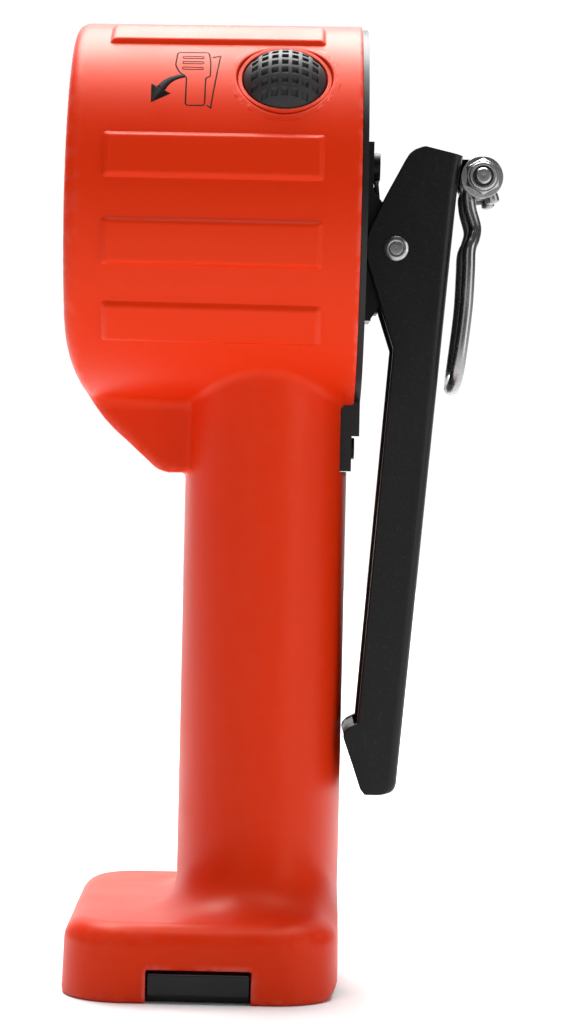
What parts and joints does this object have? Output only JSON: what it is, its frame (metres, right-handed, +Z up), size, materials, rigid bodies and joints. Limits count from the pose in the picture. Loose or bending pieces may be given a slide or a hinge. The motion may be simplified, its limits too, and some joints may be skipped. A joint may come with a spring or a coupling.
{
  "type": "firefighter flashlight",
  "caption": "Right-angle firefighter flashlight with a round orange lamp head, oval battery handle, flared foot with battery door, push button, spring clip and hanging ring.",
  "frame": {"origin": "on the surface the foot stands on, under the axis of the handle", "axes": "+Z up along the handle, -X the way the lamp shines, +X towards the clip, -Y the side with the power button"},
  "size_m": [0.0794, 0.073, 0.1765],
  "materials": {
    "shell_plastic": "moulded orange-red glass-filled nylon, fine satin texture",
    "black_plastic": "moulded black nylon, fine texture",
    "rubber": "black moulded rubber",
    "black_steel": "black powder-coated spring steel",
    "steel": "bright stainless steel",
    "spring_steel": "spring wire",
    "lens_clear": "clear polycarbonate",
    "reflector": "metallised mirror finish",
    "aluminium": "machined aluminium",
    "board": "green circuit board",
    "board_white": "white-masked aluminium board",
    "component": "moulded electronic components",
    "phosphor": "yellow LED phosphor under clear silicone",
    "contact": "plated contact metal",
    "cell_jacket": "printed shrink film over a steel can",
    "wire_red": "red wire insulation",
    "wire_black": "black wire insulation"
  },
  "bodies": {
    "root": {"housing": "shell_plastic", "rear_cover": "black_plastic", "rear_cover_seal": "rubber", "rear_cover_screws": "steel", "tongue_screw": "black_steel", "bezel": "black_plastic", "lens": "lens_clear", "lens_seal": "rubber", "reflector": "reflector", "led": "phosphor", "led_board": "board_white", "heat_sink": "aluminium", "heat_sink_screws": "steel", "driver_board": "board", "driver_parts": "component", "switch": "component", "button_collar": "shell_plastic", "button_spring": "spring_steel", "clip_bracket": "black_steel", "bracket_screws": "black_steel", "clip_pin": "steel", "clip_spring": "spring_steel", "door_hinge_pin": "steel", "battery_cradle": "black_plastic", "contact_board": "board", "cell_1": "cell_jacket", "cell_2": "cell_jacket", "cell_3": "cell_jacket", "cell_4": "cell_jacket", "lead_red": "wire_red", "lead_black": "wire_black"},
    "button": {"power_button": "rubber"},
    "clip": {"clip_lever": "black_steel", "ring_bolt": "steel", "ring_nut": "steel", "ring_washers": "steel"},
    "ring": {"d_ring": "steel"},
    "door": {"battery_door": "black_plastic", "door_seal": "rubber", "door_contact": "contact", "contact_springs": "contact", "latch_springs_near": "spring_steel", "latch_springs_far": "spring_steel"},
    "latch_near": {"door_latch_near": "black_plastic"},
    "latch_far": {"door_latch_far": "black_plastic"}
  },
  "joints": [
    {"name": "button_press", "type": "slide", "parent": "root", "child": "button", "axis": [0, 0.7547, -0.6561], "range_m": [0, 0.002], "stiffness_N_per_m": 1500, "deforming": ["button_spring"]},
    {"name": "clip_open", "type": "hinge", "parent": "root", "child": "clip", "pos_m": [0.023, 0, 0.1349], "axis": [0, -1, 0], "range_deg": [0, 23], "stiffness_Nm_per_rad": 1.2, "springref_deg": -11.46, "deforming": ["clip_spring"]},
    {"name": "ring_swing", "type": "hinge", "parent": "clip", "child": "ring", "pos_m": [0.03865, 0, 0.1485], "axis": [0, -1, 0], "range_deg": [-1.5, 165]},
    {"name": "door_open", "type": "hinge", "parent": "root", "child": "door", "pos_m": [0.0125, 0, 0.0021], "axis": [0, -1, 0], "range_deg": [0, 100]},
    {"name": "latch_near_press", "type": "slide", "parent": "door", "child": "latch_near", "axis": [0, 1, 0], "range_m": [0, 0.0015], "stiffness_N_per_m": 600, "deforming": ["latch_springs_near"]},
    {"name": "latch_far_press", "type": "slide", "parent": "door", "child": "latch_far", "axis": [0, -1, 0], "range_m": [0, 0.0015], "stiffness_N_per_m": 600, "deforming": ["latch_springs_far"]}
  ]
}
